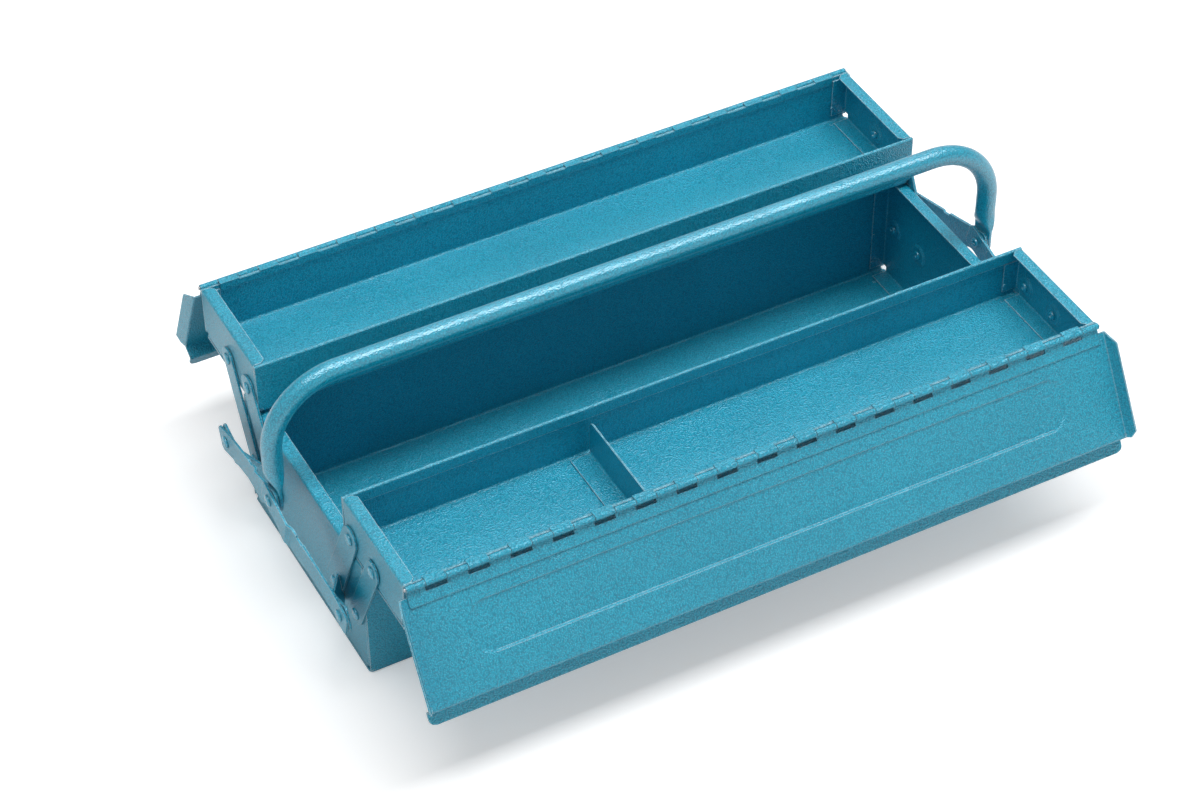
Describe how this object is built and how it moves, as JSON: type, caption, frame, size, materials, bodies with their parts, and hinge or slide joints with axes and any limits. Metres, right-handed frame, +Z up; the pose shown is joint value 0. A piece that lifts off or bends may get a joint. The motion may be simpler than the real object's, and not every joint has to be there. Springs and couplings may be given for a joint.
{
  "type": "cantilever tool box",
  "caption": "Long sheet-steel tool box: two lidded trays swing out on parallel arms from a base bin, linked at both ends to a tubular carrying handle.",
  "frame": {"origin": "middle of the underside of the base bin, on the surface it stands on", "axes": "+X along the box's length, +Y from the front tray to the back tray, +Z up"},
  "size_m": [0.52, 0.3723, 0.1765],
  "materials": {
    "box_paint": "hammered gloss enamel on sheet steel",
    "lid_paint": "hammered gloss enamel on sheet steel",
    "hinge_paint": "hammered gloss enamel on thin steel",
    "arm_paint": "hammered gloss enamel on flat steel",
    "handle_paint": "hammered gloss enamel on steel tube",
    "rivets": "enamel worn on the crowns",
    "steel": "drawn wire"
  },
  "bodies": {
    "base": {"base_trough": "box_paint", "base_end_left": "box_paint", "base_end_right": "box_paint", "base_pivot_rivets": "rivets"},
    "back_cranks": {"back_crank_left": "arm_paint", "back_crank_right": "arm_paint", "back_link_rivets": "rivets"},
    "front_cranks": {"front_crank_left": "arm_paint", "front_crank_right": "arm_paint", "front_link_rivets": "rivets"},
    "back_arms": {"back_arm_left": "arm_paint", "back_arm_right": "arm_paint"},
    "front_arms": {"front_arm_left": "arm_paint", "front_arm_right": "arm_paint"},
    "back_tray": {"back_tray_trough": "box_paint", "back_tray_end_left": "box_paint", "back_tray_end_right": "box_paint", "back_tray_rivets": "rivets", "back_tray_hinge_leaf": "hinge_paint", "back_hinge_pin": "steel"},
    "front_tray": {"front_tray_trough": "box_paint", "front_tray_end_left": "box_paint", "front_tray_end_right": "box_paint", "front_tray_rivets": "rivets", "front_tray_hinge_leaf": "hinge_paint", "front_hinge_pin": "steel", "tray_divider": "box_paint"},
    "back_lid": {"back_lid": "lid_paint", "back_lid_hinge_leaf": "hinge_paint"},
    "front_lid": {"front_lid": "lid_paint", "front_lid_hinge_leaf": "hinge_paint"},
    "back_links": {"back_link_left": "arm_paint", "back_link_right": "arm_paint"},
    "front_links": {"front_link_left": "arm_paint", "front_link_right": "arm_paint"},
    "handle": {"handle": "handle_paint", "handle_rivets": "rivets"}
  },
  "joints": [
    {"name": "linkage", "type": "hinge", "parent": "base", "child": "back_cranks", "pos_m": [0, 0.0446, 0.0433], "axis": [1, 0, 0], "range_deg": [0, 54.16]},
    {"name": "back_arm_turn", "type": "hinge", "parent": "base", "child": "back_arms", "pos_m": [0, 0.0753, 0.0433], "axis": [1, 0, 0], "range_deg": [0, 54.56]},
    {"name": "back_tray_turn", "type": "hinge", "parent": "back_cranks", "child": "back_tray", "pos_m": [0, 0.07418, 0.10475], "axis": [1, 0, 0], "range_deg": [-54.56, 0]},
    {"name": "back_link_turn", "type": "hinge", "parent": "back_cranks", "child": "back_links", "pos_m": [0, 0.08424, 0.05718], "axis": [1, 0, 0], "range_deg": [-87.99, 0]},
    {"name": "handle_turn", "type": "hinge", "parent": "back_links", "child": "handle", "pos_m": [0, 0, 0.082], "axis": [1, 0, 0], "range_deg": [0, 33.83]},
    {"name": "front_crank_turn", "type": "hinge", "parent": "base", "child": "front_cranks", "pos_m": [0, -0.0446, 0.0433], "axis": [1, 0, 0], "range_deg": [-54.56, 0]},
    {"name": "front_arm_turn", "type": "hinge", "parent": "base", "child": "front_arms", "pos_m": [0, -0.0753, 0.0433], "axis": [1, 0, 0], "range_deg": [-54.56, 0]},
    {"name": "front_tray_turn", "type": "hinge", "parent": "front_cranks", "child": "front_tray", "pos_m": [0, -0.07418, 0.10475], "axis": [1, 0, 0], "range_deg": [0, 54.56]},
    {"name": "front_link_turn", "type": "hinge", "parent": "front_cranks", "child": "front_links", "pos_m": [0, -0.08424, 0.05718], "axis": [1, 0, 0], "range_deg": [0, 87.99]},
    {"name": "front_lid_hinge", "type": "hinge", "parent": "front_tray", "child": "front_lid", "pos_m": [0, -0.14808, 0.1286], "axis": [-1, 0, 0], "range_deg": [0, 239]},
    {"name": "back_lid_hinge", "type": "hinge", "parent": "back_tray", "child": "back_lid", "pos_m": [0, 0.14808, 0.1286], "axis": [1, 0, 0], "range_deg": [0, 245]}
  ],
  "couplings": [
    {"joint": "back_arm_turn", "follows": "linkage", "ratio": 1},
    {"joint": "back_tray_turn", "follows": "linkage", "ratio": -1},
    {"joint": "back_link_turn", "follows": "linkage", "ratio": -1.6173},
    {"joint": "handle_turn", "follows": "linkage", "ratio": 0.6173},
    {"joint": "front_crank_turn", "follows": "linkage", "ratio": -1},
    {"joint": "front_arm_turn", "follows": "linkage", "ratio": -1},
    {"joint": "front_tray_turn", "follows": "linkage", "ratio": 1},
    {"joint": "front_link_turn", "follows": "linkage", "ratio": 1.6173}
  ]
}
